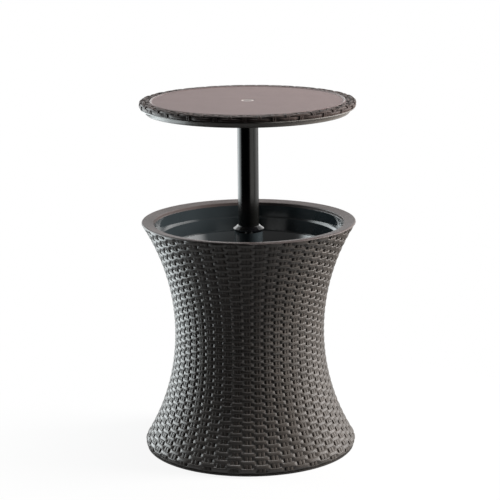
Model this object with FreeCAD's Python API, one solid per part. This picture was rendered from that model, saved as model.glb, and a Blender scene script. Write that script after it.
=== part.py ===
import FreeCAD, Part
import math
import os

os.makedirs("parts", exist_ok=True)

# Body: two flared shells joined at the waist, standing on a foot ring
foot_height = 5.0            # foot ring below the lower shell
foot_width = 17.0            # flat ring that meets the floor
foot_inset = 1.0             # foot ring stands back from the shell
foot_chamfer = 1.2
foot_spigot_height = 10.0    # part of the foot ring inside the shell
foot_spigot_wall = 3.0
hem_height = 13.0            # straight band at the bottom of the lower shell
flare_height = 258.0         # each flare, from the waist to its widest edge
waist_radius = 171.5         # outside of the waist
end_radius = 244.0           # outside of the widest edges
shell_wall = 3.0
stake_count = 48             # upright ribs where the weave goes over its stakes
stake_width = 14.0
stake_rise = 1.7             # above the shell's side
stake_first = -91.7          # angle of the first stake
seam_flange_width = 10.0     # joint flange inside the waist
seam_flange_thick = 4.0
seam_screw_count = 8

# Rim ring over the top edge of the body
rim_overhang = 2.5           # past the shell's edge
rim_width = 24.5             # from the shell's edge to the bucket's mouth
rim_wall = 2.8
rim_edge_height = 3.5        # crest above the shell's edge
rim_edge_round = 3.0
rim_inner_round = 1.5
rim_drop = 3.2               # slope down towards the bucket
rim_spigot_height = 4.0
rim_spigot_wall = 2.6
hook_count = 8               # snap hooks that hold the rim ring and the bucket's lip
hook_width = 14.0
hook_wall = 2.5
hook_barb = 2.5
hook_barb_height = 3.0

# Bucket, its stepped mouth, and the chimney that stands in the hole of its floor
bucket_wall = 2.6
bucket_depth = 319.0         # from the lip to the floor
bucket_gap = 3.0             # clear of the joint flange at the waist
lip_drop = 7.0               # lip below the shell's top edge
lip_gap = 2.0                # lip clear of the shell's side
mouth_reveal = 2.5           # lip showing inside the rim ring
ledge_gap = 3.0              # shell's ledge clear of the bucket's wall
first_step_depth = 27.0      # steps in the wall, below the lip
second_step_depth = 57.0
side_gap = 2.0               # bands clear of the shell's side
band_draft = 1.5             # draft of each band between the steps
floor_taper = 5.0            # draft between the waist and the floor
floor_round = 12.0
chimney_wall = 2.4
chimney_draft = 2.0
chimney_round = 5.0
chimney_flange_width = 12.0  # flange on the bucket's floor
chimney_flange_thick = 2.4

# Centre column, post and twist lock
lift_travel = 252.0          # rise of the table
post_radius = 24.0
post_wall = 3.2
guide_wall = 4.0
guide_floor = 4.0
guide_screw_count = 3
guide_screw_circle = 15.0
bush_wall = 1.7
collar_height = 13.0
collar_radius = 35.5
collar_edge = 2.0            # upright band at the collar's widest
collar_shoulder = 4.5        # rise from the chimney to that band
collar_cap = 4.0             # thickness of the collar over the guide tube
collar_land = 2.5            # flat top of the collar beside the post
collar_room = 11.5           # collar below the closed table
post_engagement = 53.5       # post inside the column when raised
lug_width = 11.0
lug_height = 10.0
lug_margin = 1.0             # above and below the lug on the post's foot
lug_room = 5.0               # between the lock slot and the bush
twist_angle = 40.0           # turn that locks the table
slot_gap = 0.5               # lock lug in its slot
spindle_radius = 14.0
glide_height = 12.0
spigot_length = 25.0         # plugs inside the post
rivet_radius = 2.0
rivet_length = 10.0
rivet_inset = 14.0           # from the end of the plug's shank
foot_washer_radius = 19.0
foot_washer_thick = 2.0
foot_screw_length = 16.0
well_room = 4.0              # below the foot when the table is down

# Table: an upper panel with a raised edge band and a lower shell
table_overhang = 1.0         # past the rim ring
band_width = 26.5            # raised edge band around the flat top
band_rise = 2.0
band_slope = 2.5             # width of the step up to the band
band_round = 7.0
band_height = 14.5           # from the band's crest to the bottom of the skirt
skirt_draft = 1.0
panel_wall = 3.0
flat_height = 26.5           # flat top above the table's underside
under_wall = 2.8
seat_inset = 11.0            # edge that rests on the rim, inside the shell's edge
seat_round = 3.0
under_flare = 5.0            # lower shell widens towards its lip
lip_inset = 2.0              # lower shell's lip inside the skirt
lip_thick = 2.2
locating_rib = 4.0
hub_wall = 4.0
hub_radius = 30.0
hub_floor = 5.5
cap_radius = 16.0
cap_depth = 3.2
cap_recess = 0.3             # cap below the flat top
cap_groove = 0.8
pocket_radius = 12.0
pocket_depth = 7.8
bolt_washer_radius = 11.0
bolt_washer_thick = 1.5
bolt_radius = 3.0
bolt_length = 30.0
bolt_head_radius = 6.5
bolt_head_height = 5.0
head_flange = 4.0
key_length = 28.0
key_width = 6.0
key_height = 2.0
lid_screw_count = 8
lid_screw_inset = 33.0
lid_boss_radius = 5.0
lid_counterbore = 3.0
lid_screw_grip = 6.0         # thread in the upper panel's bosses

# Drain in the bucket's floor
drain_circle = 95.0
drain_angle = 90.0
drain_bore = 10.0
drain_tube_wall = 3.0
drain_tube_length = 16.0     # below the floor
drain_flange_radius = 21.0
drain_flange_thick = 2.2
drain_gasket_radius = 19.0
drain_gasket_thick = 1.6
drain_nut_radius = 19.0
drain_nut_height = 8.0
plug_head_radius = 16.0
plug_head_height = 3.0
plug_length = 13.0
loop_radius = 9.0
loop_bore = 5.5
loop_thick = 4.0
seal_section = 1.0

# Screws and clearances
screw_radius = 1.9
screw_head_radius = 4.0
screw_head_height = 2.4
run_gap = 0.3                # between pieces that move
fit_gap = 0.1                # between pieces that are fastened together
snap_gap = 0.5               # around the snap hooks
rest_gap = 0.3               # under the closed table

# Heights, from the floor up
hem_top = foot_height + hem_height
waist_z = hem_top + flare_height
flare_top = waist_z + flare_height
lip_top = flare_top - lip_drop
lip_bottom = lip_top - bucket_wall
ledge_bottom = lip_bottom - shell_wall
floor_z = lip_top - bucket_depth
rim_crest = flare_top + rim_edge_height

# Flare of the body: an arc whose centre lies outside the waist
flare_out = end_radius - waist_radius
flare_arc = (flare_height ** 2 + flare_out ** 2) / (2 * flare_out)
arc_centre = waist_radius + flare_arc


def side_radius(z, inset):
    return arc_centre - math.sqrt((flare_arc + inset) ** 2 - (z - waist_z) ** 2)


def side_arc(z_from, z_to, inset):
    middle = (z_from + z_to) / 2
    return ((side_radius(middle, inset), middle), (side_radius(z_to, inset), z_to))


def corner_arc(begin, corner, end):
    # Quarter round from begin to end, bulging towards the corner
    middle = []
    for a, b, c in zip(begin, corner, end):
        middle.append((a + c) / 2 + (b - (a + c) / 2) * (math.sqrt(2) - 1))
    return (tuple(middle), end)


def spot(point):
    return FreeCAD.Vector(point[0], 0, point[1])


def turned(*outline):
    # Ring or disc from a closed outline of radius and height; a pair of points is an arc
    at = outline[0]
    edges = []
    for step in outline[1:] + (outline[0],):
        if isinstance(step[0], tuple):
            edges.append(Part.Arc(spot(at), spot(step[0]), spot(step[1])).toShape())
            at = step[1]
        else:
            edges.append(Part.makeLine(spot(at), spot(step)))
            at = step
    face = Part.Face(Part.Wire(edges))
    solid = face.revolve(FreeCAD.Vector(0, 0, 0), FreeCAD.Vector(0, 0, 1), 360)
    if solid.Volume < 0:
        solid.reverse()
    return solid


def rod(radius, z_from, z_to, x=0.0, y=0.0):
    return Part.makeCylinder(radius, z_to - z_from, FreeCAD.Vector(x, y, z_from))


def block(x_from, x_to, width, z_from, z_to):
    # Block on the X axis, centred across it
    corner = FreeCAD.Vector(x_from, -width / 2, z_from)
    return Part.makeBox(x_to - x_from, width, z_to - z_from, corner)


def turn_to(shape, angle):
    copy = shape.copy()
    copy.rotate(FreeCAD.Vector(0, 0, 0), FreeCAD.Vector(0, 0, 1), angle)
    return copy


def around(shape, count, first=0.0):
    return [turn_to(shape, first + 360.0 * i / count) for i in range(count)]


def screw(x, z_head, z_tip, shank, head, head_height):
    # Screw driven upwards, with its head's seat at z_head
    body = rod(shank, z_head, z_tip, x).fuse(rod(head, z_head - head_height, z_head, x))
    return body.removeSplitter()


def save(node, *solids):
    shape = solids[0]
    if len(solids) > 1:
        shape = Part.makeCompound(list(solids))
    shape.exportStep("parts/" + node + ".step")


# Shells
seam_inner = waist_radius - shell_wall - seam_flange_width
seam_circle = waist_radius - shell_wall - seam_flange_width / 2
hem_inner = side_radius(hem_top, shell_wall)
flange_low = waist_z - seam_flange_thick
flange_high = waist_z + seam_flange_thick
seam_holes = around(rod(screw_radius + fit_gap, flange_low, flange_high, seam_circle), seam_screw_count)

stake_round = (stake_width ** 2 / 4 + stake_rise ** 2) / (2 * stake_rise)
stake_root = shell_wall / 2
stake_half = math.sqrt(stake_round ** 2 - (stake_round - stake_rise - stake_root) ** 2)
stake_turn = math.degrees(math.asin((flare_height + stake_width) / (flare_arc - stake_rise)))


def stake(z_from, z_to, turn_axis):
    # Rounded rib along the flare, rooted in the shell's wall
    root_from = FreeCAD.Vector(waist_radius - stake_root, -stake_half, waist_z)
    crest = FreeCAD.Vector(waist_radius + stake_rise, 0, waist_z)
    root_to = FreeCAD.Vector(waist_radius - stake_root, stake_half, waist_z)
    edges = [Part.Arc(root_from, crest, root_to).toShape(), Part.makeLine(root_to, root_from)]
    face = Part.Face(Part.Wire(edges))
    rib = face.revolve(FreeCAD.Vector(arc_centre, 0, waist_z), turn_axis, stake_turn)
    if rib.Volume < 0:
        rib.reverse()
    return rib.common(block(0.0, 2 * end_radius, 4 * stake_half, z_from, z_to))


lower_stakes = around(stake(hem_top, waist_z, FreeCAD.Vector(0, -1, 0)), stake_count, stake_first)
lower_body = turned(
    (waist_radius, waist_z),
    side_arc(waist_z, hem_top, 0.0),
    (end_radius, foot_height),
    (hem_inner, foot_height),
    (hem_inner, hem_top),
    side_arc(hem_top, flange_low, shell_wall),
    (seam_inner, flange_low),
    (seam_inner, waist_z),
).cut(seam_holes)
save("lower_body", lower_body.fuse(lower_stakes).removeSplitter())

mouth_radius = end_radius - rim_width - mouth_reveal
ledge_inner = mouth_radius + bucket_wall + ledge_gap
upper_stakes = around(stake(waist_z, flare_top, FreeCAD.Vector(0, 1, 0)), stake_count, stake_first)
upper_body = turned(
    (waist_radius, waist_z),
    side_arc(waist_z, flare_top, 0.0),
    (side_radius(flare_top, shell_wall), flare_top),
    side_arc(flare_top, lip_bottom, shell_wall),
    (ledge_inner, lip_bottom),
    (ledge_inner, ledge_bottom),
    (side_radius(ledge_bottom, shell_wall), ledge_bottom),
    side_arc(ledge_bottom, flange_high, shell_wall),
    (seam_inner, flange_high),
    (seam_inner, waist_z),
).cut(seam_holes)

hook_in = (ledge_inner + side_radius(ledge_bottom, shell_wall) - hook_wall - hook_barb) / 2
hook_out = hook_in + hook_wall + hook_barb
hook_slot = block(hook_in - snap_gap, hook_out + snap_gap, hook_width + 2 * snap_gap, ledge_bottom, lip_top)
hook_slots = around(hook_slot, hook_count)
upper_body = upper_body.fuse(upper_stakes).removeSplitter()
save("upper_body", upper_body.cut(hook_slots))

seam_screw = screw(seam_circle, flange_low, flange_high, screw_radius, screw_head_radius, screw_head_height)
save("seam_screws", *around(seam_screw, seam_screw_count))

# Foot ring
foot_outer = end_radius - foot_inset
foot_spigot = hem_inner - fit_gap
save("foot_ring", turned(
    (foot_outer - foot_chamfer, 0.0),
    (foot_outer, foot_chamfer),
    (foot_outer, foot_height),
    (foot_spigot, foot_height),
    (foot_spigot, foot_height + foot_spigot_height),
    (foot_spigot - foot_spigot_wall, foot_height + foot_spigot_height),
    (foot_spigot - foot_spigot_wall, foot_height),
    (foot_outer - foot_chamfer - foot_width, foot_height),
    (foot_outer - foot_chamfer - foot_width, 0.0),
))

# Rim ring with its snap hooks
rim_outer = end_radius + rim_overhang
rim_inner = end_radius - rim_width
table_radius = rim_outer + table_overhang
rim_knee = rim_outer - rim_edge_round
rim_toe = rim_inner + rim_inner_round
rim_low = rim_crest - rim_drop
rim_seat = side_radius(flare_top, shell_wall)


def rim_top(radius):
    return rim_crest - rim_drop * (rim_knee - radius) / (rim_knee - rim_toe)


def rim_under(radius):
    inner = rim_inner + rim_wall
    return rim_low - rim_wall + (flare_top - rim_low + rim_wall) * (radius - inner) / (rim_seat - inner)


rim_spigot = side_radius(flare_top - rim_spigot_height, shell_wall) - fit_gap
rim_ring = turned(
    (rim_outer, flare_top),
    (rim_outer, rim_crest - rim_edge_round),
    corner_arc((rim_outer, rim_crest - rim_edge_round), (rim_outer, rim_crest), (rim_knee, rim_crest)),
    (rim_toe, rim_low),
    corner_arc((rim_toe, rim_low), (rim_inner, rim_low), (rim_inner, rim_low - rim_inner_round)),
    (rim_inner, lip_top),
    (rim_inner + rim_wall, lip_top),
    (rim_inner + rim_wall, rim_low - rim_wall),
    (rim_spigot - rim_spigot_wall, rim_under(rim_spigot - rim_spigot_wall)),
    (rim_spigot - rim_spigot_wall, flare_top - rim_spigot_height),
    (rim_spigot, flare_top - rim_spigot_height),
    (rim_spigot, flare_top),
)
hook_leg = block(
    hook_in,
    hook_in + hook_wall,
    hook_width,
    ledge_bottom - hook_barb_height,
    rim_under(hook_in) + rim_wall / 2,
)
hook_catch = block(hook_in, hook_out, hook_width, ledge_bottom - hook_barb_height, ledge_bottom)
hook = hook_leg.fuse(hook_catch).removeSplitter()
save("rim_ring", rim_ring.fuse(around(hook, hook_count)).removeSplitter())

# Table heights: the edge of the table's underside rests on the sloping rim
seat_radius = end_radius - seat_inset
closed_z = rim_top(seat_radius + seat_round) + rest_gap
table_z = closed_z + lift_travel

# Column heights; the post's foot is the lower end of the raised post
column_top = closed_z - collar_room
shoulder_z = column_top - collar_height
collar_ceiling = column_top - collar_cap
post_end = column_top - post_engagement
foot_low = post_end - lug_height - 2 * lug_margin
lug_low = post_end - lug_margin - lug_height
lug_high = post_end - lug_margin
spindle_end = foot_low - glide_height - 2 * run_gap
foot_screw_head = 4.0
foot_tip = spindle_end - foot_washer_thick - foot_screw_head
guide_low = min(foot_tip - lift_travel - well_room - guide_floor, floor_z - 2 * bucket_wall)

# Column radii, from the post outwards
post_bore = post_radius - post_wall
bush_bore = post_radius + run_gap
guide_bore = bush_bore + bush_wall
guide_outer = guide_bore + guide_wall
chimney_bore = guide_outer + fit_gap
chimney_outer = chimney_bore + chimney_wall
chimney_foot = chimney_outer + chimney_draft
lug_reach = math.sqrt((guide_outer - slot_gap) ** 2 - (lug_width / 2) ** 2)

# Bucket
bucket_inset = shell_wall + seam_flange_width + bucket_gap
inner_inset = bucket_inset + bucket_wall
first_step = lip_top - first_step_depth
second_step = lip_top - second_step_depth
side_one = side_radius(first_step - bucket_wall, shell_wall) - side_gap - bucket_wall
band_one = min(mouth_radius - band_draft, side_one)
band_two = side_radius(second_step - bucket_wall, shell_wall) - side_gap - bucket_wall
band_two_top = band_two + band_draft
knee_z = max(waist_z, floor_z + floor_round + bucket_wall)
knee_radius = side_radius(knee_z, inner_inset)
floor_radius = knee_radius - floor_taper
lip_outer = side_radius(lip_bottom, shell_wall) - lip_gap
under_floor = floor_z - bucket_wall
well_under = guide_low - chimney_wall
floor_hole = chimney_foot + fit_gap
round_under = floor_round + bucket_wall

bucket_mouth = turned(
    (lip_outer, lip_top),
    (mouth_radius, lip_top),
    (band_one, first_step),
    (band_two_top, first_step),
    (band_two, second_step),
    (band_two + bucket_wall, second_step),
    (band_two_top + bucket_wall, first_step - bucket_wall),
    (band_one + bucket_wall, first_step - bucket_wall),
    (mouth_radius + bucket_wall, lip_bottom),
    (lip_outer, lip_bottom),
)
save("bucket_mouth", bucket_mouth.cut(hook_slots))

bucket = turned(
    (band_two + bucket_wall, second_step),
    (side_radius(second_step, inner_inset), second_step),
    side_arc(second_step, knee_z, inner_inset),
    (floor_radius, floor_z + floor_round),
    corner_arc(
        (floor_radius, floor_z + floor_round),
        (floor_radius, floor_z),
        (floor_radius - floor_round, floor_z),
    ),
    (floor_hole, floor_z),
    (floor_hole, under_floor),
    (floor_radius - floor_round, under_floor),
    corner_arc(
        (floor_radius - floor_round, under_floor),
        (floor_radius + bucket_wall, under_floor),
        (floor_radius + bucket_wall, under_floor + round_under),
    ),
    (side_radius(knee_z, bucket_inset), knee_z),
    side_arc(knee_z, second_step - bucket_wall, bucket_inset),
    (band_two + bucket_wall, second_step - bucket_wall),
)
drain_outer = drain_bore + drain_tube_wall
drain_hole = turn_to(rod(drain_outer + fit_gap, under_floor, floor_z, drain_circle), drain_angle)
guide_hole = rod(screw_radius + fit_gap, well_under, guide_low + guide_floor, guide_screw_circle)
guide_holes = around(guide_hole, guide_screw_count)
save("cooler_bucket", bucket.cut(drain_hole))

chimney_flange = chimney_foot + chimney_flange_width
flange_top = floor_z + chimney_flange_thick
centre_chimney = turned(
    (chimney_flange, floor_z),
    (chimney_flange, flange_top),
    (chimney_foot + chimney_round, flange_top),
    corner_arc(
        (chimney_foot + chimney_round, flange_top),
        (chimney_foot, flange_top),
        (chimney_foot, flange_top + chimney_round),
    ),
    (chimney_outer, shoulder_z),
    (chimney_bore, shoulder_z),
    (chimney_bore, guide_low),
    (0.0, guide_low),
    (0.0, well_under),
    (chimney_foot, well_under),
    (chimney_foot, floor_z),
)
save("centre_chimney", centre_chimney.cut(guide_holes))

# Guide tube with two opposite slots; each has a level leg at its top and its bottom end
guide_tube = turned(
    (0.0, guide_low),
    (guide_outer, guide_low),
    (guide_outer, collar_ceiling),
    (guide_bore, collar_ceiling),
    (guide_bore, guide_low + guide_floor),
    (0.0, guide_low + guide_floor),
)
channel_low = spindle_end + run_gap - lift_travel - slot_gap
channel_high = lug_high + slot_gap
slot_width = lug_width + 2 * slot_gap
leg_sweep = twist_angle + math.degrees(math.asin((slot_width / 2) / guide_bore))
slot_cuts = [block(guide_bore - bush_wall, guide_outer + guide_wall, slot_width, channel_low, channel_high)]
for leg_shift in (0.0, -lift_travel):
    leg = Part.makeCylinder(
        guide_outer + guide_wall,
        lug_height + 2 * slot_gap,
        FreeCAD.Vector(0, 0, lug_low - slot_gap + leg_shift),
        FreeCAD.Vector(0, 0, 1),
        leg_sweep,
    )
    slot_cuts.append(leg)
slot_cuts += [turn_to(cut, 180.0) for cut in slot_cuts]
save("guide_tube", guide_tube.cut(slot_cuts + guide_holes))

guide_screw = screw(
    guide_screw_circle,
    well_under,
    guide_low + guide_floor,
    screw_radius,
    screw_head_radius,
    screw_head_height,
)
save("guide_screws", *around(guide_screw, guide_screw_count))

save("upper_bush", turned(
    (bush_bore, channel_high + lug_room),
    (guide_bore - fit_gap, channel_high + lug_room),
    (guide_bore - fit_gap, collar_ceiling),
    (bush_bore, collar_ceiling),
))

save("lock_collar", turned(
    (chimney_outer, shoulder_z),
    (collar_radius, shoulder_z + collar_shoulder),
    (collar_radius, shoulder_z + collar_shoulder + collar_edge),
    (bush_bore + collar_land, column_top),
    (bush_bore, column_top),
    (bush_bore, collar_ceiling),
    (guide_outer + fit_gap, collar_ceiling),
    (guide_outer + fit_gap, shoulder_z),
))

# Drain fitting, made on the X axis and turned to its place
drain_nut_top = under_floor - drain_gasket_thick
plug_z = floor_z + drain_flange_thick + run_gap
plug_radius = drain_bore - run_gap
seal_centre = drain_bore - fit_gap - seal_section
seal_z = plug_z - plug_length / 2


def at_drain(shape):
    shape.translate(FreeCAD.Vector(drain_circle, 0, 0))
    return turn_to(shape, drain_angle)


save("drain_seat", at_drain(turned(
    (drain_bore, floor_z - drain_tube_length - bucket_wall),
    (drain_outer, floor_z - drain_tube_length - bucket_wall),
    (drain_outer, floor_z),
    (drain_flange_radius, floor_z),
    (drain_flange_radius, floor_z + drain_flange_thick),
    (drain_bore, floor_z + drain_flange_thick),
)))
save("drain_gasket", at_drain(turned(
    (drain_outer + fit_gap, drain_nut_top),
    (drain_gasket_radius, drain_nut_top),
    (drain_gasket_radius, under_floor),
    (drain_outer + fit_gap, under_floor),
)))
nut_points = []
for corner in range(7):
    nut_angle = math.radians(60.0 * corner)
    nut_points.append(FreeCAD.Vector(
        drain_nut_radius * math.cos(nut_angle),
        drain_nut_radius * math.sin(nut_angle),
        drain_nut_top - drain_nut_height,
    ))
nut = Part.Face(Part.makePolygon(nut_points)).extrude(FreeCAD.Vector(0, 0, drain_nut_height))
save("drain_nut", at_drain(nut.cut(rod(
    drain_outer + fit_gap, drain_nut_top - drain_nut_height, drain_nut_top))))

loop_z = plug_z + plug_head_height + loop_bore
loop = Part.makeCylinder(
    loop_radius, loop_thick, FreeCAD.Vector(0, -loop_thick / 2, loop_z), FreeCAD.Vector(0, 1, 0))
loop = loop.cut(Part.makeCylinder(
    loop_bore, loop_thick, FreeCAD.Vector(0, -loop_thick / 2, loop_z), FreeCAD.Vector(0, 1, 0)))
loop = loop.common(rod(2 * plug_head_radius, plug_z + plug_head_height / 2, loop_z + loop_radius))
plug = turned(
    (0.0, plug_z - plug_length),
    (plug_radius, plug_z - plug_length),
    (plug_radius, plug_z),
    (plug_head_radius, plug_z),
    (plug_head_radius, plug_z + plug_head_height),
    (0.0, plug_z + plug_head_height),
)
seal_ring = Part.makeTorus(seal_centre, seal_section, FreeCAD.Vector(0, 0, seal_z))
plug = plug.fuse(loop).removeSplitter().cut(seal_ring)
save("drain_plug", at_drain(plug))
save("drain_seal", at_drain(seal_ring))

# Glide ring on the spindle of the post's foot
glide_low = spindle_end + run_gap
glide_high = glide_low + glide_height
glide = turned(
    (spindle_radius + run_gap, glide_low),
    (guide_bore - run_gap, glide_low),
    (guide_bore - run_gap, glide_high),
    (spindle_radius + run_gap, glide_high),
)
ear = block((spindle_radius + guide_bore) / 2, lug_reach, lug_width, glide_low, glide_high)
save("glide_ring", glide.fuse([ear, turn_to(ear, 180.0)]).removeSplitter())

# Post with a plug at each end
hub_low = table_z + flat_height - cap_depth - pocket_depth - hub_floor
post_top = hub_low - head_flange
foot_rivet_z = post_end + spigot_length - rivet_inset
head_rivet_z = post_top - spigot_length + rivet_inset


def rivets(radius, inner, outer, z):
    pin = Part.makeCylinder(radius, outer - inner, FreeCAD.Vector(0, inner, z), FreeCAD.Vector(0, 1, 0))
    return [pin, turn_to(pin, 180.0)]


rivet_outer = post_radius - run_gap
rivet_inner = rivet_outer - rivet_length
rivet_holes = []
rivet_pins = []
for rivet_z in (foot_rivet_z, head_rivet_z):
    rivet_holes += rivets(rivet_radius + fit_gap, rivet_inner, post_radius + run_gap, rivet_z)
    rivet_pins += rivets(rivet_radius, rivet_inner, rivet_outer, rivet_z)

save("post_tube", turned(
    (post_bore, post_end),
    (post_radius, post_end),
    (post_radius, post_top),
    (post_bore, post_top),
).cut(rivet_holes))
save("post_rivets", *rivet_pins)

foot_screw_radius = 2.5
foot = turned(
    (0.0, spindle_end),
    (spindle_radius, spindle_end),
    (spindle_radius, foot_low),
    (post_radius, foot_low),
    (post_radius, post_end),
    (post_bore - fit_gap, post_end),
    (post_bore - fit_gap, post_end + spigot_length),
    (0.0, post_end + spigot_length),
)
lug = block(post_radius / 2, lug_reach, lug_width, lug_low, lug_high)
foot = foot.fuse([lug, turn_to(lug, 180.0)]).removeSplitter()
foot_pilot = rod(foot_screw_radius + fit_gap, spindle_end, spindle_end + foot_screw_length)
save("post_foot", foot.cut(rivet_holes + [foot_pilot]))

save("foot_washer", turned(
    (foot_screw_radius + fit_gap, spindle_end - foot_washer_thick),
    (foot_washer_radius, spindle_end - foot_washer_thick),
    (foot_washer_radius, spindle_end),
    (foot_screw_radius + fit_gap, spindle_end),
))
save("foot_screw", screw(
    0.0,
    spindle_end - foot_washer_thick,
    spindle_end + foot_screw_length - fit_gap,
    foot_screw_radius,
    2 * foot_screw_radius,
    foot_screw_head,
))

head = turned(
    (bolt_radius + fit_gap, post_top - spigot_length),
    (post_bore - fit_gap, post_top - spigot_length),
    (post_bore - fit_gap, post_top),
    (post_radius, post_top),
    (post_radius, hub_low),
    (bolt_radius + fit_gap, hub_low),
)
key = block(-key_length / 2, key_length / 2, key_width, hub_low - head_flange / 2, hub_low + key_height)
key = key.cut(rod(bolt_radius + fit_gap, hub_low - head_flange, hub_low + key_height))
save("post_head", head.fuse(key).removeSplitter().cut(rivet_holes))

# Table's lower shell
plate_top = table_z + under_wall
crest_z = table_z + flat_height + band_rise
skirt_low = crest_z - band_height
skirt_radius = table_radius - skirt_draft
lip_radius = skirt_radius - lip_inset
lip_root = seat_radius + under_flare
rib_outer = skirt_radius - panel_wall - fit_gap
rib_inner = rib_outer - under_wall
socket_bore = post_radius + fit_gap
socket_outer = socket_bore + hub_wall
socket_top = hub_low - fit_gap
panel_under = table_z + flat_height - panel_wall
boss_split = (plate_top + panel_under) / 2
lid_screw_circle = seat_radius - lid_screw_inset
screw_seat = table_z + lid_counterbore

under_shell = turned(
    (socket_bore, table_z),
    (seat_radius - seat_round, table_z),
    corner_arc((seat_radius - seat_round, table_z), (seat_radius, table_z), (seat_radius, table_z + seat_round)),
    (lip_root, skirt_low - lip_thick),
    (lip_radius, skirt_low - lip_thick),
    (lip_radius, skirt_low),
    (rib_outer, skirt_low),
    (rib_outer, skirt_low + locating_rib),
    (rib_inner, skirt_low + locating_rib),
    (rib_inner, skirt_low),
    (lip_root - under_wall, skirt_low),
    (seat_radius - under_wall, plate_top + seat_round - under_wall),
    (seat_radius - seat_round, plate_top),
    (socket_outer, plate_top),
    (socket_outer, socket_top),
    (socket_bore, socket_top),
)
lower_boss = rod(lid_boss_radius + screw_radius, plate_top - under_wall / 2, boss_split, lid_screw_circle)
bore_cut = rod(screw_head_radius + fit_gap, table_z, screw_seat, lid_screw_circle)
bore_cut = bore_cut.fuse(rod(screw_radius + fit_gap, table_z, boss_split, lid_screw_circle))
under_shell = under_shell.fuse(around(lower_boss, lid_screw_count)).removeSplitter()
save("lid_under_shell", under_shell.cut(around(bore_cut, lid_screw_count)))

# Table's upper panel
flat_z = table_z + flat_height
flat_radius = table_radius - band_width
band_shoulder = crest_z - band_round
cap_seat = flat_z - cap_depth
pocket_floor = cap_seat - pocket_depth
panel = turned(
    (0.0, flat_z),
    (flat_radius, flat_z),
    (flat_radius + band_slope, crest_z),
    (table_radius - band_round, crest_z),
    corner_arc((table_radius - band_round, crest_z), (table_radius, crest_z), (table_radius, band_shoulder)),
    (skirt_radius, skirt_low),
    (skirt_radius - panel_wall, skirt_low),
    (table_radius - panel_wall, band_shoulder),
    corner_arc(
        (table_radius - panel_wall, band_shoulder),
        (table_radius - panel_wall, crest_z - panel_wall),
        (table_radius - band_round, crest_z - panel_wall),
    ),
    (flat_radius + band_slope, crest_z - panel_wall),
    (flat_radius, panel_under),
    (hub_radius, panel_under),
    (hub_radius, hub_low),
    (0.0, hub_low),
)
upper_boss = rod(lid_boss_radius, boss_split, panel_under + panel_wall / 2, lid_screw_circle)
panel = panel.fuse(around(upper_boss, lid_screw_count)).removeSplitter()
screw_tip = min(boss_split + lid_screw_grip, panel_under)
panel_cuts = around(rod(screw_radius + fit_gap, boss_split, screw_tip, lid_screw_circle), lid_screw_count)
panel_cuts.append(rod(cap_radius, cap_seat, flat_z))
panel_cuts.append(rod(pocket_radius, pocket_floor, cap_seat))
panel_cuts.append(rod(bolt_radius + fit_gap, hub_low, pocket_floor))
panel_cuts.append(block(
    -key_length / 2 - fit_gap,
    key_length / 2 + fit_gap,
    key_width + 2 * fit_gap,
    hub_low,
    hub_low + key_height + fit_gap,
))
save("table_top_panel", panel.cut(panel_cuts))

lid_screw = screw(
    lid_screw_circle,
    screw_seat,
    screw_tip - fit_gap,
    screw_radius,
    screw_head_radius,
    screw_head_height,
)
save("lid_screws", *around(lid_screw, lid_screw_count))

# Bolt, washer and cap at the table's centre
washer_top = pocket_floor + bolt_washer_thick
save("bolt_washer", turned(
    (bolt_radius + fit_gap, pocket_floor),
    (bolt_washer_radius, pocket_floor),
    (bolt_washer_radius, washer_top),
    (bolt_radius + fit_gap, washer_top),
))
bolt = rod(bolt_radius, washer_top - bolt_length, washer_top)
bolt = bolt.fuse(rod(bolt_head_radius, washer_top, washer_top + bolt_head_height)).removeSplitter()
save("centre_bolt", bolt)

cap_top = flat_z - cap_recess
cap_outer = cap_radius - fit_gap
save("centre_cap", turned(
    (0.0, cap_seat),
    (cap_outer, cap_seat),
    (cap_outer, cap_top - cap_groove),
    (cap_outer - cap_groove, cap_top),
    (pocket_radius, cap_top),
    (pocket_radius - cap_groove, cap_top - cap_groove),
    (pocket_radius - 2 * cap_groove, cap_top),
    (0.0, cap_top),
))
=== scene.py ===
import math

import bmesh
import bpy
import numpy as np
from mathutils import Matrix, Vector


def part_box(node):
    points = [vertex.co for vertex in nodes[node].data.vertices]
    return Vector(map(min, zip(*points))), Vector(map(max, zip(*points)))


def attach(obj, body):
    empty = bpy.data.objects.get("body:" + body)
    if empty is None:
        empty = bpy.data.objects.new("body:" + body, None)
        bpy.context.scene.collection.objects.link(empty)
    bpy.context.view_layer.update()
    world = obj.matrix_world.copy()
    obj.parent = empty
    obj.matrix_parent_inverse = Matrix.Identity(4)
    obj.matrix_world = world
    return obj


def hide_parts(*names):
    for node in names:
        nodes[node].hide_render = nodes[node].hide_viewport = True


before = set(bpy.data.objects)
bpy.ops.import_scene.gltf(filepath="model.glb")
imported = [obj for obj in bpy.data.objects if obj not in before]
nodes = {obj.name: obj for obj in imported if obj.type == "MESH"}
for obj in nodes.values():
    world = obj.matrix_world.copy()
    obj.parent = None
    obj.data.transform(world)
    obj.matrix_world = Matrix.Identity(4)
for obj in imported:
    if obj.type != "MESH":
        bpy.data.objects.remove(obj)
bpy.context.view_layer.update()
scene = bpy.context.scene
print("frame loaded with", len(nodes), "nodes")


def linear(red, green, blue):
    shares = [level / 255 for level in (red, green, blue)]
    return tuple(s / 12.92 if s <= 0.04045 else ((s + 0.055) / 1.055) ** 2.4 for s in shares) + (1.0,)


# camera, fitted to the photograph
view = {
    "place": (0.0, -4.2574, 1.4440),
    "sensor": 36.0,
    "lens": 136.0,
    "pitch": 0.2258,
    "roll": -0.0093,
    "yaw": 0.0006,
}


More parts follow.
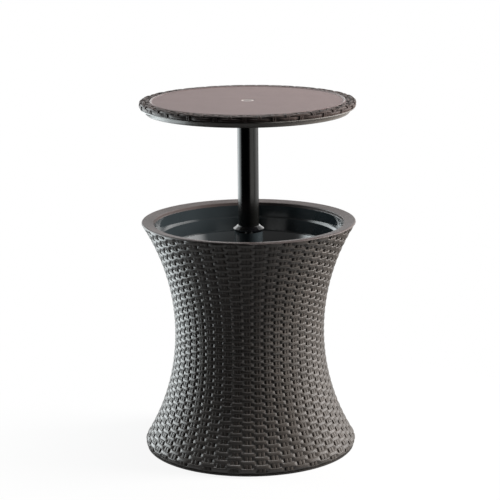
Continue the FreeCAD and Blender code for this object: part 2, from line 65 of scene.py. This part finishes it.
def addCamera():
    pitch, roll, yaw = view["pitch"], view["roll"], view["yaw"]
    ahead = Vector((math.sin(yaw) * math.cos(pitch), math.cos(yaw) * math.cos(pitch), -math.sin(pitch)))
    right = Vector((math.cos(yaw), -math.sin(yaw), 0.0))
    up = right.cross(ahead)
    across = math.cos(roll) * right + math.sin(roll) * up
    upward = math.cos(roll) * up - math.sin(roll) * right
    data = bpy.data.cameras.new("photoCamera")
    data.sensor_width = view["sensor"]
    data.lens = view["lens"]
    camera = bpy.data.objects.new("photoCamera", data)
    turn = Matrix((across, upward, -ahead)).transposed()
    camera.matrix_world = Matrix.Translation(view["place"]) @ turn.to_4x4()
    scene.collection.objects.link(camera)
    scene.camera = camera


addCamera()
print("camera placed")


# shader maths on sockets
class Wire:
    def __init__(self, board, socket):
        self.board = board
        self.socket = socket

    def __add__(self, other):
        return self.board.sum("ADD", self, other)

    def __sub__(self, other):
        return self.board.sum("SUBTRACT", self, other)

    def __rsub__(self, other):
        return self.board.sum("SUBTRACT", other, self)

    def __mul__(self, other):
        return self.board.sum("MULTIPLY", self, other)

    def __truediv__(self, other):
        return self.board.sum("DIVIDE", self, other)

    def __pow__(self, other):
        return self.board.sum("POWER", self, other)

    __radd__ = __add__
    __rmul__ = __mul__


class Board:
    def __init__(self, tree):
        self.tree = tree
        self.tree.nodes.clear()

    def node(self, kind, settings=None, inputs=None):
        made = self.tree.nodes.new(kind)
        for name, value in (settings or {}).items():
            setattr(made, name, value)
        for name, value in (inputs or {}).items():
            if isinstance(value, Wire):
                self.tree.links.new(value.socket, made.inputs[name])
            else:
                made.inputs[name].default_value = value
        return made

    def out(self, made, name):
        return Wire(self, made.outputs[name])

    def sum(self, operation, first, second):
        made = self.node("ShaderNodeMath", {"operation": operation}, {0: first, 1: second})
        return self.out(made, 0)

    def limited(self, value):
        made = self.node("ShaderNodeClamp", {}, {"Value": value})
        return self.out(made, 0)

    def place(self):
        return self.out(self.node("ShaderNodeTexCoord"), "Object")

    def parts(self, vector):
        made = self.node("ShaderNodeSeparateXYZ", {}, {0: vector})
        return [self.out(made, axis) for axis in "XYZ"]

    def joined(self, x, y, z):
        return self.out(self.node("ShaderNodeCombineXYZ", {}, {"X": x, "Y": y, "Z": z}), 0)

    def noise(self, vector, scale, detail, rough=0.5):
        inputs = {"Vector": vector, "Scale": scale, "Detail": detail, "Roughness": rough}
        return self.out(self.node("ShaderNodeTexNoise", {}, inputs), "Fac")

    def mix(self, share, first, second):
        made = self.node("ShaderNodeMix", {"data_type": "RGBA"}, {0: share, 6: first, 7: second})
        return self.out(made, 2)

    def bump(self, height, depth, strength):
        inputs = {"Height": height, "Distance": depth, "Strength": strength}
        return self.out(self.node("ShaderNodeBump", {}, inputs), "Normal")

    def surface(self, inputs):
        shader = self.node("ShaderNodeBsdfPrincipled", {}, inputs)
        self.finish(self.out(shader, 0))

    def finish(self, shader):
        self.node("ShaderNodeOutputMaterial", {}, {"Surface": shader})


def newBoard(name):
    material = bpy.data.materials.new(name)
    material.use_nodes = True
    return material, Board(material.node_tree)


# moulded woven resin: fibres run along the strands, tone drifts from strand to strand; the weave's gaps are
# darkened with a painted shade
wovenFinish = {
    "dark": linear(61, 57, 53),
    "light": linear(99, 92, 87),
    # dark colour painted into the deep gaps of the weave as shade
    "grooveShade": linear(11, 10, 9),
    "turnLength": 0.2,  # length of one radian, near the body's mean radius
    "fibreAlong": 26.0,
    "fibreAcross": 900.0,
    "driftAround": 3.0,
    "driftUp": 62.0,
    "grooveShadeShare": 0.92,
    "rough": 0.20,
    "shine": 0.75,
}
edgeFinish = dict(
    wovenFinish,
    dark=linear(41, 33, 31),
    light=linear(102, 89, 85),
    rough=0.32,
    shine=0.3,
)
stakeFinish = dict(wovenFinish, rough=0.28, shine=0.45)


def wovenResin(name, finish):
    material, board = newBoard(name)
    x, y, z = board.parts(board.place())
    angle = board.sum("ARCTAN2", y, x)
    around = angle * finish["turnLength"] * finish["fibreAlong"]
    strands = board.joined(around, z * finish["fibreAcross"], 0.0)
    fibre = board.noise(strands, scale=1.0, detail=3.0)
    patches = board.joined(angle * finish["driftAround"], z * finish["driftUp"], 0.0)
    drift = board.noise(patches, scale=1.0, detail=1.0)
    grain = board.noise(board.place(), scale=1500.0, detail=2.0)
    tone = board.limited(drift * 0.9 + fibre * 0.35 - 0.2)
    # painted shade: the deeper the weave's gap, the nearer its colour goes to the dark shade colour; the gaps
    # are also rougher
    grooveShade = board.out(board.node("ShaderNodeAttribute", {"attribute_name": "grooveShade"}), "Fac")
    colour = board.mix(tone, finish["dark"], finish["light"])
    colour = board.mix(grooveShade * finish["grooveShadeShare"], colour, finish["grooveShade"])
    board.surface({
        "Base Color": colour,
        "Roughness": finish["rough"] + fibre * 0.14 + grain * 0.06 + grooveShade * 0.25,
        "Specular IOR Level": finish["shine"],
        "Normal": board.bump(fibre + grain * 0.3, depth=0.0003, strength=0.7),
    })
    return material


# satin moulded resin of the flat top, and the smoother rim
satinFinish = {
    "dark": linear(111, 93, 92),
    "light": linear(133, 114, 112),
    "rough": 0.42,
    "shine": 0.5,
}
rimFinish = {
    "dark": linear(72, 64, 63),
    "light": linear(95, 86, 84),
    "rough": 0.34,
    "shine": 0.6,
}
lipFinish = dict(satinFinish, rough=0.08)


def satinResin(name, finish):
    material, board = newBoard(name)
    place = board.place()
    cloud = board.noise(place, scale=22.0, detail=3.0)
    fleck = board.noise(place, scale=260.0, detail=2.0)
    grain = board.noise(place, scale=1400.0, detail=2.0)
    tone = board.limited(cloud * 0.7 + fleck * 0.5 - 0.1)
    board.surface({
        "Base Color": board.mix(tone, finish["dark"], finish["light"]),
        "Roughness": finish["rough"] + fleck * 0.1,
        "Specular IOR Level": finish["shine"],
        "Normal": board.bump(grain + fleck * 0.6, depth=0.00025, strength=0.6),
    })
    return material


# plain cap with a pale ring near its edge
capFinish = {
    "centre": linear(117, 102, 101),
    "ring": linear(226, 218, 214),
    "ringInner": 0.0098,
    "ringOuter": 0.0146,
    "soft": 0.0006,
}


def capResin():
    material, board = newBoard("capResin")
    place = board.place()
    x, y, z = board.parts(place)
    radius = (x * x + y * y) ** 0.5
    grain = board.noise(place, scale=1400.0, detail=2.0)
    inside = board.limited((radius - capFinish["ringInner"]) / capFinish["soft"])
    outside = board.limited((capFinish["ringOuter"] - radius) / capFinish["soft"])
    ring = inside * outside
    board.surface({
        "Base Color": board.mix(ring * (0.9 + grain * 0.1), capFinish["centre"], capFinish["ring"]),
        "Roughness": 0.34 + grain * 0.1,
        "Normal": board.bump(ring + grain * 0.1, depth=0.0004, strength=0.6),
    })
    return material


def glossResin(name, colour, rough, wave, shine, coat):
    material, board = newBoard(name)
    place = board.place()
    cloud = board.noise(place, scale=14.0, detail=2.0)
    dust = board.noise(place, scale=420.0, detail=3.0, rough=0.6)
    lighter = tuple(min(1.0, level * 1.35) for level in colour[:3]) + (1.0,)
    board.surface({
        "Base Color": board.mix(cloud, colour, lighter),
        "Roughness": rough + dust * 0.07,
        "Specular IOR Level": shine,
        "Coat Weight": coat,
        "Coat Roughness": 0.06,
        "Normal": board.bump(cloud + dust * 0.05, depth=wave, strength=0.4),
    })
    return material


def plainResin(name, colour, rough):
    material, board = newBoard(name)
    place = board.place()
    grain = board.noise(place, scale=900.0, detail=2.0)
    cloud = board.noise(place, scale=40.0, detail=2.0)
    darker = tuple(level * 0.7 for level in colour[:3]) + (1.0,)
    board.surface({
        "Base Color": board.mix(cloud, darker, colour),
        "Roughness": rough + grain * 0.12,
        "Normal": board.bump(grain, depth=0.0002, strength=0.5),
    })
    return material


def zincSteel():
    material, board = newBoard("zincSteel")
    brushed = board.noise(board.place(), scale=700.0, detail=3.0)
    board.surface({
        "Base Color": board.mix(brushed, linear(150, 150, 152), linear(196, 196, 198)),
        "Metallic": 1.0,
        "Roughness": 0.28 + brushed * 0.15,
        "Normal": board.bump(brushed, depth=0.0001, strength=0.4),
    })
    return material


finishes = {
    "woven": wovenResin("wovenResin", wovenFinish),
    "edge": wovenResin("edgeResin", edgeFinish),
    "stake": wovenResin("stakeResin", stakeFinish),
    "satin": satinResin("satinResin", satinFinish),
    "rim": satinResin("rimResin", rimFinish),
    "lip": satinResin("lipResin", lipFinish),
    "cap": capResin(),
    "under": glossResin("underResin", linear(108, 104, 100), rough=0.22, wave=0.0006, shine=0.5, coat=0.15),
    "post": glossResin("postPaint", linear(16, 16, 15), rough=0.16, wave=0.0002, shine=0.35, coat=0.0),
    "collar": glossResin("collarGloss", linear(14, 14, 16), rough=0.05, wave=0.0001, shine=1.0, coat=1.0),
    "bucket": glossResin("bucketResin", linear(44, 50, 53), rough=0.06, wave=0.0005, shine=0.7, coat=0.6),
    "foot": plainResin("footResin", linear(54, 50, 47), rough=0.42),
    "inner": plainResin("innerResin", linear(30, 30, 31), rough=0.4),
    "bearing": plainResin("bearingResin", linear(206, 204, 196), rough=0.4),
    "rubber": plainResin("sealRubber", linear(34, 34, 34), rough=0.7),
    "steel": zincSteel(),
}
nodeFinish = {
    "rim_ring": "rim",
    "centre_cap": "cap",
    "lid_under_shell": "under",
    "bucket_mouth": "bucket",
    "cooler_bucket": "bucket",
    "centre_chimney": "bucket",
    "post_tube": "post",
    "lock_collar": "collar",
    "foot_ring": "foot",
    "upper_bush": "bearing",
    "glide_ring": "bearing",
    "drain_gasket": "rubber",
    "drain_seal": "rubber",
    "seam_screws": "steel",
    "guide_screws": "steel",
    "lid_screws": "steel",
    "post_rivets": "steel",
    "foot_screw": "steel",
    "foot_washer": "steel",
    "centre_bolt": "steel",
    "bolt_washer": "steel",
}
for nodeName, node in nodes.items():
    node.data.materials.clear()
    node.data.materials.append(finishes[nodeFinish.get(nodeName, "inner")])
print("finishes ready:", len(finishes))


# the body's side: an arc about a centre outside the waist, then a straight hem
side = {
    "waistRadius": 0.1715,
    "endRadius": 0.2440,
    "waistHeight": 0.2760,
    "flare": 0.2580,
    "wall": 0.0030,
    "seamInner": 0.1585,
    "seamThick": 0.0040,
    "ledgeInner": 0.2226,
    "ledgeTop": 0.5244,
    "ledgeLow": 0.5214,
    "hemLow": 0.0050,
}
sideOut = side["endRadius"] - side["waistRadius"]
sideArc = (side["flare"] ** 2 + sideOut ** 2) / (2 * sideOut)
sideCentre = side["waistRadius"] + sideArc


def sideRise(height):
    return np.clip(height - side["waistHeight"], -side["flare"], side["flare"])


def sideRadius(height, inset=0.0):
    return sideCentre - np.sqrt((sideArc + inset) ** 2 - sideRise(height) ** 2)


def sideLean(height):
    rise = sideRise(height)
    slope = np.where(np.abs(rise) < side["flare"] - 1e-6, rise / np.sqrt(sideArc ** 2 - rise ** 2), 0.0)
    long = np.sqrt(1 + slope ** 2)
    return 1 / long, -slope / long


# plain weave of rounded weavers over doubled stakes
weave = {
    "columns": 48,
    "stakeAngle": math.radians(-91.7),
    "upperRows": 32,
    "lowerRows": 33,
    "rowSteps": 5,
    "columnSteps": 10,
    "high": 0.0025,
    "low": -0.0026,
    "valley": -0.0028,
    "reach": 0.32,
    "snap": 1.9,
    "firstRow": 1,
    "crowd": 0.5,
    "rowCrowd": 0.085,
    "fat": 1.10,
    "square": 4.5,
    "onSide": 2e-5,  # a vertex this near the side belongs to the weave
    "wallCuts": 12,
}
rowPitch = side["flare"] / weave["upperRows"]
waist = side["waistHeight"]
flareTop = waist + side["flare"]
weaveLow = waist - weave["lowerRows"] * rowPitch


def weaverCrest(angle, row, high, low):
    swing = np.cos(weave["columns"] / 2 * (angle - weave["stakeAngle"]) + math.pi * row) + weave["reach"]
    return low + (high - low) * (0.5 + 0.5 * np.tanh(weave["snap"] * swing))


def crowded(angle):
    # vertices gather between the stakes, where the weavers dive
    turn = weave["columns"] * (angle - weave["stakeAngle"])
    return angle + weave["crowd"] / weave["columns"] * np.sin(turn)


def rowCrowded(rowPlace):
    # vertices gather at the rows' edges, so that the weavers keep a flat crown
    return rowPlace - weave["rowCrowd"] * np.sin(2 * math.pi * rowPlace)


def weaveLift(angle, rowPlace, strand):
    row = np.floor(rowPlace + 1e-4)
    lift = np.full_like(rowPlace, strand["valley"])
    for step in (-1, 0, 1):
        off = np.abs(rowPlace - row - step - 0.5) * 2 / strand["fat"]
        dome = np.clip(1 - off ** strand["square"], 0.0, 1.0) ** (1 / strand["square"])
        crest = weaverCrest(angle, row + step, strand["high"], strand["low"])
        lift = np.maximum(lift, strand["valley"] + (crest - strand["valley"]) * dome)
    return lift


def grooveShadeOf(lift, strand):
    # share of painted shade in the weave's gaps: 1 at the bottom of the weave, 0 on its upper half
    return np.clip(1 - 2 * (lift - strand["valley"]) / (strand["high"] - strand["valley"]), 0.0, 1.0)


def spun(bm, steps):
    bmesh.ops.spin(
        bm,
        geom=bm.verts[:] + bm.edges[:],
        cent=(0, 0, 0),
        axis=(0, 0, 1),
        angle=2 * math.pi,
        steps=steps,
        use_merge=True,
    )
    bmesh.ops.remove_doubles(bm, verts=bm.verts[:], dist=1e-6)
    bmesh.ops.dissolve_degenerate(bm, edges=bm.edges[:], dist=1e-7)


def outline(bm, corners):
    ring = [bm.verts.new((x, 0.0, z)) for x, z in corners]
    return [bm.edges.new((ring[i], ring[(i + 1) % len(ring)])) for i in range(len(ring))]


def divided(bm, edge, cuts):
    made = bmesh.ops.subdivide_edges(bm, edges=[edge], cuts=cuts)
    return [item for item in made["geom_inner"] if isinstance(item, bmesh.types.BMVert)]


def toObject(bm, name, finish, body, smoothAngle):
    bmesh.ops.recalc_face_normals(bm, faces=bm.faces[:])
    mesh = bpy.data.meshes.new(name)
    bm.to_mesh(mesh)
    bm.free()
    mesh.shade_smooth()
    mesh.set_sharp_from_angle(angle=math.radians(smoothAngle))
    mesh.materials.append(finishes[finish])
    piece = bpy.data.objects.new(name, mesh)
    scene.collection.objects.link(piece)
    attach(piece, body)
    return piece


def reshape(piece, change):
    count = len(piece.data.vertices)
    flat = np.empty(count * 3, np.float32)
    piece.data.vertices.foreach_get("co", flat)
    spots, grooveShade = change(flat.reshape(count, 3).astype(float))
    piece.data.vertices.foreach_set("co", spots.astype(np.float32).ravel())
    # the painted shade of the weave's gaps, stored on the vertices for the material
    depth = piece.data.attributes.new("grooveShade", "FLOAT", "POINT")
    depth.data.foreach_set("value", grooveShade.astype(np.float32))
    piece.data.update()


def liftSide(spots):
    x, y, z = spots.T
    radius = np.hypot(x, y)
    angle = crowded(np.arctan2(y, x))
    outer = np.abs(radius - sideRadius(z)) < weave["onSide"]
    woven = outer & (z > weaveLow - weave["onSide"] / 2)
    rowPlace = rowCrowded((z - waist) / rowPitch)
    z = np.where(woven, waist + rowPitch * rowPlace, z)
    lift = weaveLift(angle, rowPlace + weave["firstRow"], weave)
    lift = np.where(woven, lift, np.where(outer, weave["low"], 0.0))
    across, along = sideLean(z)
    radius = np.where(woven, sideRadius(z), radius) + lift * across
    # how much painted shade the weave's gaps get
    grooveShade = np.where(woven, grooveShadeOf(lift, weave), 0.0)
    return np.stack([radius * np.cos(angle), radius * np.sin(angle), z + lift * along], 1), grooveShade


def wovenShell(name, corners, rows):
    # the first two corners bound the woven side; numbers under insetLimit are insets from that side
    insetLimit = 0.05
    longWall = 0.02  # taller walls follow the side's curve
    bm = bmesh.new()
    edges = outline(bm, corners)
    divided(bm, edges[0], rows * weave["rowSteps"] - 1)
    for edge in edges[1:]:
        first, last = [v.co for v in edge.verts]
        if max(first.x, last.x) < insetLimit and abs(first.z - last.z) > longWall:
            divided(bm, edge, weave["wallCuts"])
    for v in bm.verts:
        if v.co.x < insetLimit:
            v.co.x = float(sideRadius(v.co.z, v.co.x))
    spun(bm, weave["columns"] * weave["columnSteps"])
    piece = toObject(bm, name, "woven", "base", smoothAngle=70)
    reshape(piece, liftSide)
    return piece


upperWeave = wovenShell("upper_weave", [
    (0.0, waist),
    (0.0, flareTop),
    (side["wall"], flareTop),
    (side["wall"], side["ledgeTop"]),
    (side["ledgeInner"], side["ledgeTop"]),
    (side["ledgeInner"], side["ledgeLow"]),
    (side["wall"], side["ledgeLow"]),
    (side["wall"], waist + side["seamThick"]),
    (side["seamInner"], waist + side["seamThick"]),
    (side["seamInner"], waist),
], weave["upperRows"])
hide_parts("upper_body")
lowerWeave = wovenShell("lower_weave", [
    (0.0, waist),
    (0.0, weaveLow),
    (0.0, side["hemLow"]),
    (side["wall"], side["hemLow"]),
    (side["wall"], waist - side["seamThick"]),
    (side["seamInner"], waist - side["seamThick"]),
    (side["seamInner"], waist),
], weave["lowerRows"])
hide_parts("lower_body")
print("woven shells:", len(upperWeave.data.polygons), len(lowerWeave.data.polygons), "faces")


# doubled stakes, drawn flat and wrapped onto the side
stake = {
    "width": 0.0070,
    "spread": 0.0037,
    "proud": 0.0016,
    "root": -0.00275,
    "wrapRadius": 0.2,
    "cuts": 40,
    "round": 0.0012,
    "endGap": 0.0004,
}


def wrapStake(spots):
    depth, across, z = spots.T
    angle = weave["stakeAngle"] + across / stake["wrapRadius"]
    out, up = sideLean(z)
    radius = sideRadius(z) + depth * out
    return np.stack([radius * np.cos(angle), radius * np.sin(angle), z + depth * up], 1)


def longEdges(bm):
    return [e for e in bm.edges if abs(e.verts[0].co.z - e.verts[1].co.z) > 0.01]


def stakes(name, shape, wrap, low, high, body, finish):
    bm = bmesh.new()
    middle = (shape["proud"] + shape["root"]) / 2
    for sideSign in (-1, 1):
        made = bmesh.ops.create_cube(bm, size=1.0)["verts"]
        bmesh.ops.scale(bm, vec=(shape["proud"] - shape["root"], shape["width"], high - low), verts=made)
        bmesh.ops.translate(bm, vec=(middle, sideSign * shape["spread"], (low + high) / 2), verts=made)
    bmesh.ops.bevel(
        bm,
        geom=[e for e in longEdges(bm) if e.verts[0].co.x > middle],
        offset=shape["round"],
        segments=2,
        profile=0.5,
        affect="EDGES",
        material=-1,
    )
    bmesh.ops.subdivide_edges(bm, edges=longEdges(bm), cuts=shape["cuts"])
    straight = np.array([v.co[:] for v in bm.verts])
    for v, spot in zip(bm.verts, wrap(straight)):
        v.co = spot
    turns = weave["columns"]
    bmesh.ops.spin(
        bm,
        geom=bm.verts[:] + bm.edges[:] + bm.faces[:],
        cent=(0, 0, 0),
        axis=(0, 0, 1),
        angle=2 * math.pi * (turns - 1) / turns,
        steps=turns - 1,
        use_duplicate=True,
    )
    piece = toObject(bm, name, finish, body, smoothAngle=50)
    return piece


stakeGap = stake["endGap"]
upperStakes = stakes("upper_stakes", stake, wrapStake, waist + stakeGap, flareTop - stakeGap, "base", "stake")
lowerStakes = stakes("lower_stakes", stake, wrapStake, weaveLow, waist - stakeGap, "base", "stake")
print("stakes:", len(upperStakes.data.polygons), len(lowerStakes.data.polygons), "faces")


# table top: flat centre, small step, woven edge band over a rounded corner
top = {
    "radius": 0.2475,
    "flatRadius": 0.2210,
    "step": 0.0025,
    "rise": 0.0020,
    "round": 0.0070,
    "skirt": 0.0145,
    "skirtDraft": 0.0010,
    "wall": 0.0030,
    "cornerShare": 1.4,  # the wall is thicker under the rounded corner
    "rows": 4,
    "rowSteps": 6,
    "high": 0.0,
    "low": -0.0030,
    "valley": -0.0036,
    "fat": 0.98,
    "square": 2.2,
    "capRadius": 0.0160,
    "capDepth": 0.0032,
    "capEase": 0.0004,
    "capMargin": 0.0016,
    "hubRadius": 0.0300,
    "hubMiddle": 1e-5,
    "lipInner": 0.0029,
    "lip": [  # out from the flat's edge, up from the flat
        (-0.0050, 0.0),
        (-0.0030, 0.0),
        (-0.0018, 0.0004),
        (-0.0004, 0.0012),
        (0.0012, 0.0014),
    ],
}
panelLow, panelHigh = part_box("table_top_panel")
crest = panelHigh.z
flat = crest - top["rise"]
skirtLow = crest - top["skirt"]
bandStart = top["flatRadius"] + top["step"]
flatRun = top["radius"] - top["round"] - bandStart
cornerRun = math.pi / 2 * top["round"]
sideRun = crest - top["round"] - skirtLow
bandRun = flatRun + cornerRun + sideRun


def bandPoint(run):
    bend = np.clip((run - flatRun) / top["round"], 0.0, math.pi / 2)
    drop = np.clip(run - flatRun - cornerRun, 0.0, None)
    lean = top["skirtDraft"] / sideRun
    radius = bandStart + np.clip(run, 0.0, flatRun) + top["round"] * np.sin(bend) - drop * lean
    height = crest - top["round"] * (1 - np.cos(bend)) - drop
    return radius, height, np.sin(bend), np.cos(bend)


def tableTop():
    bm = bmesh.new()
    wall = top["wall"]
    cornerWall = top["cornerShare"] * wall
    capRadius = top["capRadius"]
    corners = [  # the first edge is measured along the band
        (0.0, 0.0),
        (0.0, bandRun),
        (top["radius"] - top["skirtDraft"] - wall, skirtLow),
        (top["radius"] - cornerWall, crest - top["round"]),
        (top["radius"] - top["round"], crest - cornerWall),
        (bandStart, crest - cornerWall),
        (top["flatRadius"], flat - wall),
        (top["hubRadius"], flat - wall),
        (top["hubRadius"], panelLow.z),
        (top["hubMiddle"], panelLow.z),
        (top["hubMiddle"], flat - top["capDepth"]),
        (capRadius, flat - top["capDepth"]),
        (capRadius, flat - top["capEase"]),
        (capRadius + top["capEase"], flat),
        (capRadius + top["capMargin"], flat),
    ]
    corners += [(top["flatRadius"] + out, flat + up) for out, up in top["lip"]]
    edges = outline(bm, corners)
    bandVerts = set(divided(bm, edges[0], top["rows"] * top["rowSteps"] - 1)) | set(edges[0].verts)
    bandVerts |= {v for v in bm.verts if v.co.x == 0.0}
    for v in bandVerts:
        radius, height = bandPoint(np.array(v.co.z))[:2]
        v.co = (float(radius), 0.0, float(height))
    spun(bm, weave["columns"] * weave["columnSteps"])
    return toObject(bm, "table_top", "satin", "table", smoothAngle=50)


def liftBand(spots):
    runs = np.linspace(0.0, bandRun, top["rows"] * top["rowSteps"] + 1)
    radii, heights, outs, ups = bandPoint(runs)
    x, y, z = spots.T
    radius = np.hypot(x, y)
    angle = crowded(np.arctan2(y, x))
    gaps = np.hypot(radius[:, None] - radii, z[:, None] - heights)
    near = gaps.argmin(1)
    onBand = gaps.min(1) < 1e-5
    rowPlace = runs[near] / bandRun * top["rows"]
    lift = weaveLift(angle, np.minimum(rowPlace, top["rows"] - 1e-3), top)
    lift = np.where(onBand, lift, 0.0)
    radius = radius + lift * outs[near]
    # how much painted shade the band's gaps get
    grooveShade = np.where(onBand, grooveShadeOf(lift, top), 0.0)
    return np.stack([radius * np.cos(angle), radius * np.sin(angle), z + lift * ups[near]], 1), grooveShade


bandStake = {
    "width": 0.0042,
    "spread": 0.0023,
    "proud": -0.0007,
    "root": -0.0024,
    "cuts": 16,
    "round": 0.0007,
    "startGap": 0.0012,
    "endGap": 0.0006,
}


def wrapBandStake(spots):
    depth, across, run = spots.T
    angle = weave["stakeAngle"] + across / top["radius"]
    radius, height, out, up = bandPoint(run)
    radius = radius + depth * out
    return np.stack([radius * np.cos(angle), radius * np.sin(angle), height + depth * up], 1)


tablePanel = tableTop()
reshape(tablePanel, liftBand)
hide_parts("table_top_panel")
tablePanel.data.materials.append(finishes["edge"])
tablePanel.data.materials.append(finishes["lip"])
for face in tablePanel.data.polygons:
    away = math.hypot(face.center.x, face.center.y) - top["flatRadius"]
    if away > top["step"] and face.center.z > skirtLow and face.normal.to_tuple() != (0, 0, -1):
        face.material_index = 1
    elif away > -top["lipInner"] and face.center.z > flat + 1e-5:
        face.material_index = 2  # smooth lip round the flat top
bandEnd = bandRun - bandStake["endGap"]
bandStakes = stakes("band_stakes", bandStake, wrapBandStake, bandStake["startGap"], bandEnd, "table", "edge")
print("table top:", len(tablePanel.data.polygons), "faces, band stakes:", len(bandStakes.data.polygons))


# studio: pale room with a dark front, a bright ceiling and a white floor
# cool light from the left, warm light from the right
studio = {
    "floorRadius": 0.82,
    "floorHeight": -0.0004,
    "fadeFrom": 0.26,
    "fadeTo": 0.80,
    "floorShade": 0.10,
    "floorTone": 0.9,
    "floorBounce": 0.15,
    "floorGloss": 0.05,
    "nearGloss": 0.4,
    "diffuseShare": 0.055,
    "front": 0.012,
    "frontHigh": 0.5,
    "back": 0.9,
    "backTurn": 1.6,
    "wallHigh": (1.5, 2.4),  # the back wall dims above and below: start and slope
    "wallLow": (1.0, 2.0),
    "ceiling": 6.0,
    "ceilingFrom": 0.90,
    "ceilingEdge": 8.0,
    "panelEdge": 4.0,
    "panels": {
        "left": {
            "aim": (-0.883, 0.469),
            "spread": (0.76, 0.97),
            "heights": (-0.8, 0.55),
            "level": 4.6,
            "colour": (0.90, 0.98, 1.0),
        },
        "lowLeft": {
            "aim": (-1.0, -0.03),
            "spread": (0.80, 0.97),
            "heights": (-1.4, -0.6),
            "level": 7.0,
            "colour": (0.90, 0.98, 1.0),
        },
        "right": {
            "aim": (0.98, 0.17),
            "spread": (0.80, 0.95),
            "heights": (-0.3, 0.7),
            "level": 2.6,
            "colour": (1.0, 0.99, 0.98),
        },
        "frontRight": {
            "aim": (0.70, -0.72),
            "spread": (0.90, 0.96),
            "heights": (-0.5, 0.0),
            "level": 2.4,
            "colour": (1.0, 0.98, 0.95),
        },
    },
}


def addFloor():
    bm = bmesh.new()
    bmesh.ops.create_circle(bm, cap_ends=True, radius=studio["floorRadius"], segments=96)
    bmesh.ops.translate(bm, vec=(0, 0, studio["floorHeight"]), verts=bm.verts[:])
    mesh = bpy.data.meshes.new("studioFloor")
    bm.to_mesh(mesh)
    bm.free()
    material, board = newBoard("studioFloor")
    x, y, z = board.parts(board.place())
    away = ((x * x + y * y) ** 0.5 - studio["fadeFrom"]) / (studio["fadeTo"] - studio["fadeFrom"])
    near = 1 - board.limited(away)
    shade = near * studio["floorShade"]
    # in reflections the floor glows brighter near the object than further out: a painted pool of light
    gloss = studio["floorGloss"] + near * (studio["nearGloss"] - studio["floorGloss"])
    path = board.node("ShaderNodeLightPath")
    camera = board.out(path, "Is Camera Ray")
    level = studio["floorBounce"] + camera * (studio["floorTone"] - studio["floorBounce"])
    grey = board.joined(level, level, level)
    diffuse = board.out(board.node("ShaderNodeBsdfDiffuse", {}, {"Color": grey}), 0)
    glow = board.out(board.node("ShaderNodeEmission", {}, {"Color": (1, 1, 1, 1), "Strength": 1.0}), 0)
    mirrored = board.limited(board.out(path, "Is Glossy Ray") + board.out(path, "Is Transmission Ray"))
    share = camera * (1 - shade) + (1 - camera) * mirrored * gloss
    mixed = board.node("ShaderNodeMixShader", {}, {0: share, 1: diffuse, 2: glow})
    board.finish(board.out(mixed, 0))
    mesh.materials.append(material)
    floor = bpy.data.objects.new("studioFloor", mesh)
    scene.collection.objects.link(floor)


def strip(board, x, y, z, panel):
    # tall soft panel of light: share of it that shows in a direction
    aimX, aimY = panel["aim"]
    start, full = panel["spread"]
    low, high = panel["heights"]
    edge = studio["panelEdge"]
    towards = (x * aimX + y * aimY) / (x * x + y * y + 1e-4) ** 0.5  # never divides by zero
    inputs = {"Value": towards, "From Min": start, "From Max": full}
    ramp = board.node("ShaderNodeMapRange", {"interpolation_type": "SMOOTHSTEP"}, inputs)
    tall = board.limited((high - z) * edge) * board.limited((z - low) * edge)
    return board.out(ramp, 0) * tall * panel["level"]


def addWorld():
    world = bpy.data.worlds.new("studioRoom")
    scene.world = world
    world.use_nodes = True
    board = Board(world.node_tree)
    direction = board.out(board.node("ShaderNodeTexCoord"), "Generated")
    x, y, z = board.parts(direction)
    highStart, highSlope = studio["wallHigh"]
    lowStart, lowSlope = studio["wallLow"]
    level = board.limited(highStart - z * highSlope) * board.limited(lowStart + z * lowSlope)
    front = board.limited(z) * studio["frontHigh"] + studio["front"]
    ceiling = board.limited((z - studio["ceilingFrom"]) * studio["ceilingEdge"]) * studio["ceiling"]
    back = board.limited(y * studio["backTurn"] + 0.5) * level * studio["back"]
    room = back + front + ceiling
    path = board.node("ShaderNodeLightPath")
    camera = board.out(path, "Is Camera Ray")
    glossy = board.limited(board.out(path, "Is Glossy Ray") + board.out(path, "Is Transmission Ray"))
    share = studio["diffuseShare"] + glossy * (1 - studio["diffuseShare"])
    unseen = (1 - camera) * share
    lights = [((1.0, 1.0, 1.0), camera + unseen * room)]
    for panel in studio["panels"].values():
        lights.append((panel["colour"], unseen * strip(board, x, y, z, panel)))
    total = None
    for colour, strength in lights:
        inputs = {"Color": colour + (1.0,), "Strength": strength}
        light = board.out(board.node("ShaderNodeBackground", {}, inputs), 0)
        if total:
            light = board.out(board.node("ShaderNodeAddShader", {}, {0: total, 1: light}), 0)
        total = light
    board.node("ShaderNodeOutputWorld", {}, {"Surface": total})


lampAim = Vector((0.0, 0.0, 0.45))
lamps = {
    "leftPanel": {
        "place": (-1.75, 0.90, 1.0),
        "size": (0.7, 0.7),
        "power": 21.5,
        "colour": (0.90, 0.98, 1.0),
        "glossy": False,
    },
    "rightPanel": {
        "place": (2.0, 0.10, 1.2),
        "size": (0.9, 0.9),
        "power": 100.0,
        "colour": (1.0, 0.97, 0.94),
        "glossy": False,
    },
    "topPanel": {
        "place": (0.0, 0.25, 1.8),
        "size": (1.0, 0.8),
        "power": 4.6,
        "colour": (1.0, 1.0, 1.0),
        "glossy": True,
    },
}


def addLamps():
    for name, lamp in lamps.items():
        data = bpy.data.lights.new(name, "AREA")
        data.shape = "RECTANGLE"
        data.size, data.size_y = lamp["size"]
        data.energy = lamp["power"]
        data.color = lamp["colour"]
        item = bpy.data.objects.new(name, data)
        towards = lampAim - Vector(lamp["place"])
        item.rotation_euler = towards.to_track_quat("-Z", "Y").to_euler()
        item.location = lamp["place"]
        item.visible_glossy = lamp["glossy"]
        scene.collection.objects.link(item)


addFloor()
addWorld()
addLamps()
scene.view_settings.view_transform = "Standard"
print("studio ready")
